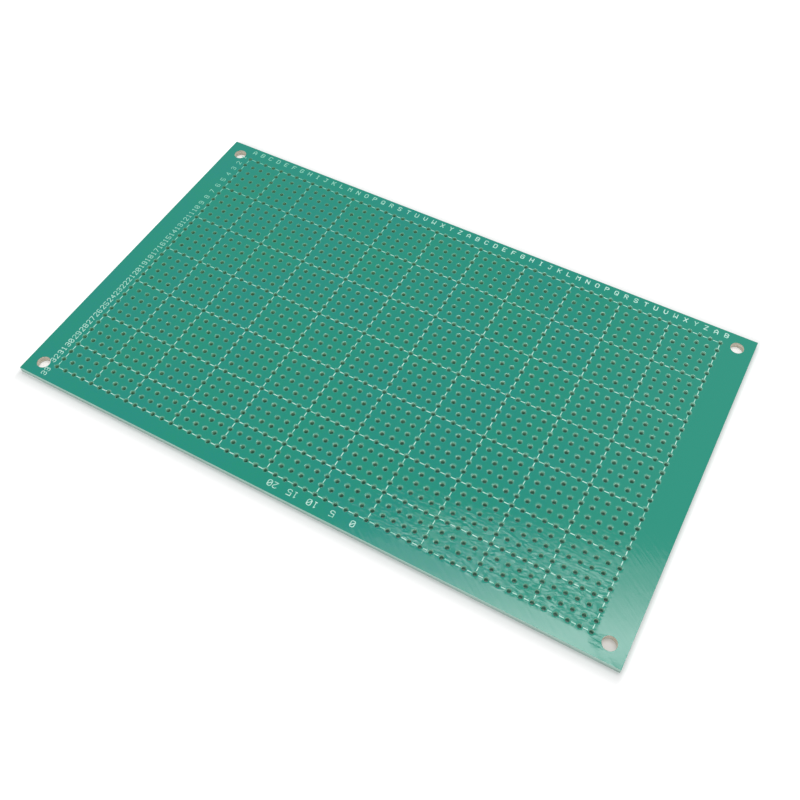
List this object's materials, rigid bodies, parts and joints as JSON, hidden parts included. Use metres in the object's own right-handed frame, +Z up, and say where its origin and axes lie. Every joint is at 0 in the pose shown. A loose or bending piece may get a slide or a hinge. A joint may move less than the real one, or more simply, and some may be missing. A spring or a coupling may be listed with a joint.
{
  "type": "prototype circuit board",
  "caption": "Flat green single-sided prototype circuit board with a drilled grid of lead holes, printed grid lines, bare ring pads underneath and a screw hole in each corner.",
  "frame": {"origin": "centre of the solder side, on the surface that the board lies on", "axes": "+X along the lettered long edge in the order of the letters, +Y towards that edge, +Z up out of the component side"},
  "size_m": [0.15, 0.09, 0.0016],
  "materials": {
    "laminate": "satin",
    "resist": "gloss",
    "solder": "satin",
    "ink": "matt"
  },
  "bodies": {
    "root": {"laminate": "laminate", "resist_component_side": "resist", "resist_solder_side": "resist", "solder_pads": "solder", "printed_grid": "ink"}
  },
  "joints": []
}
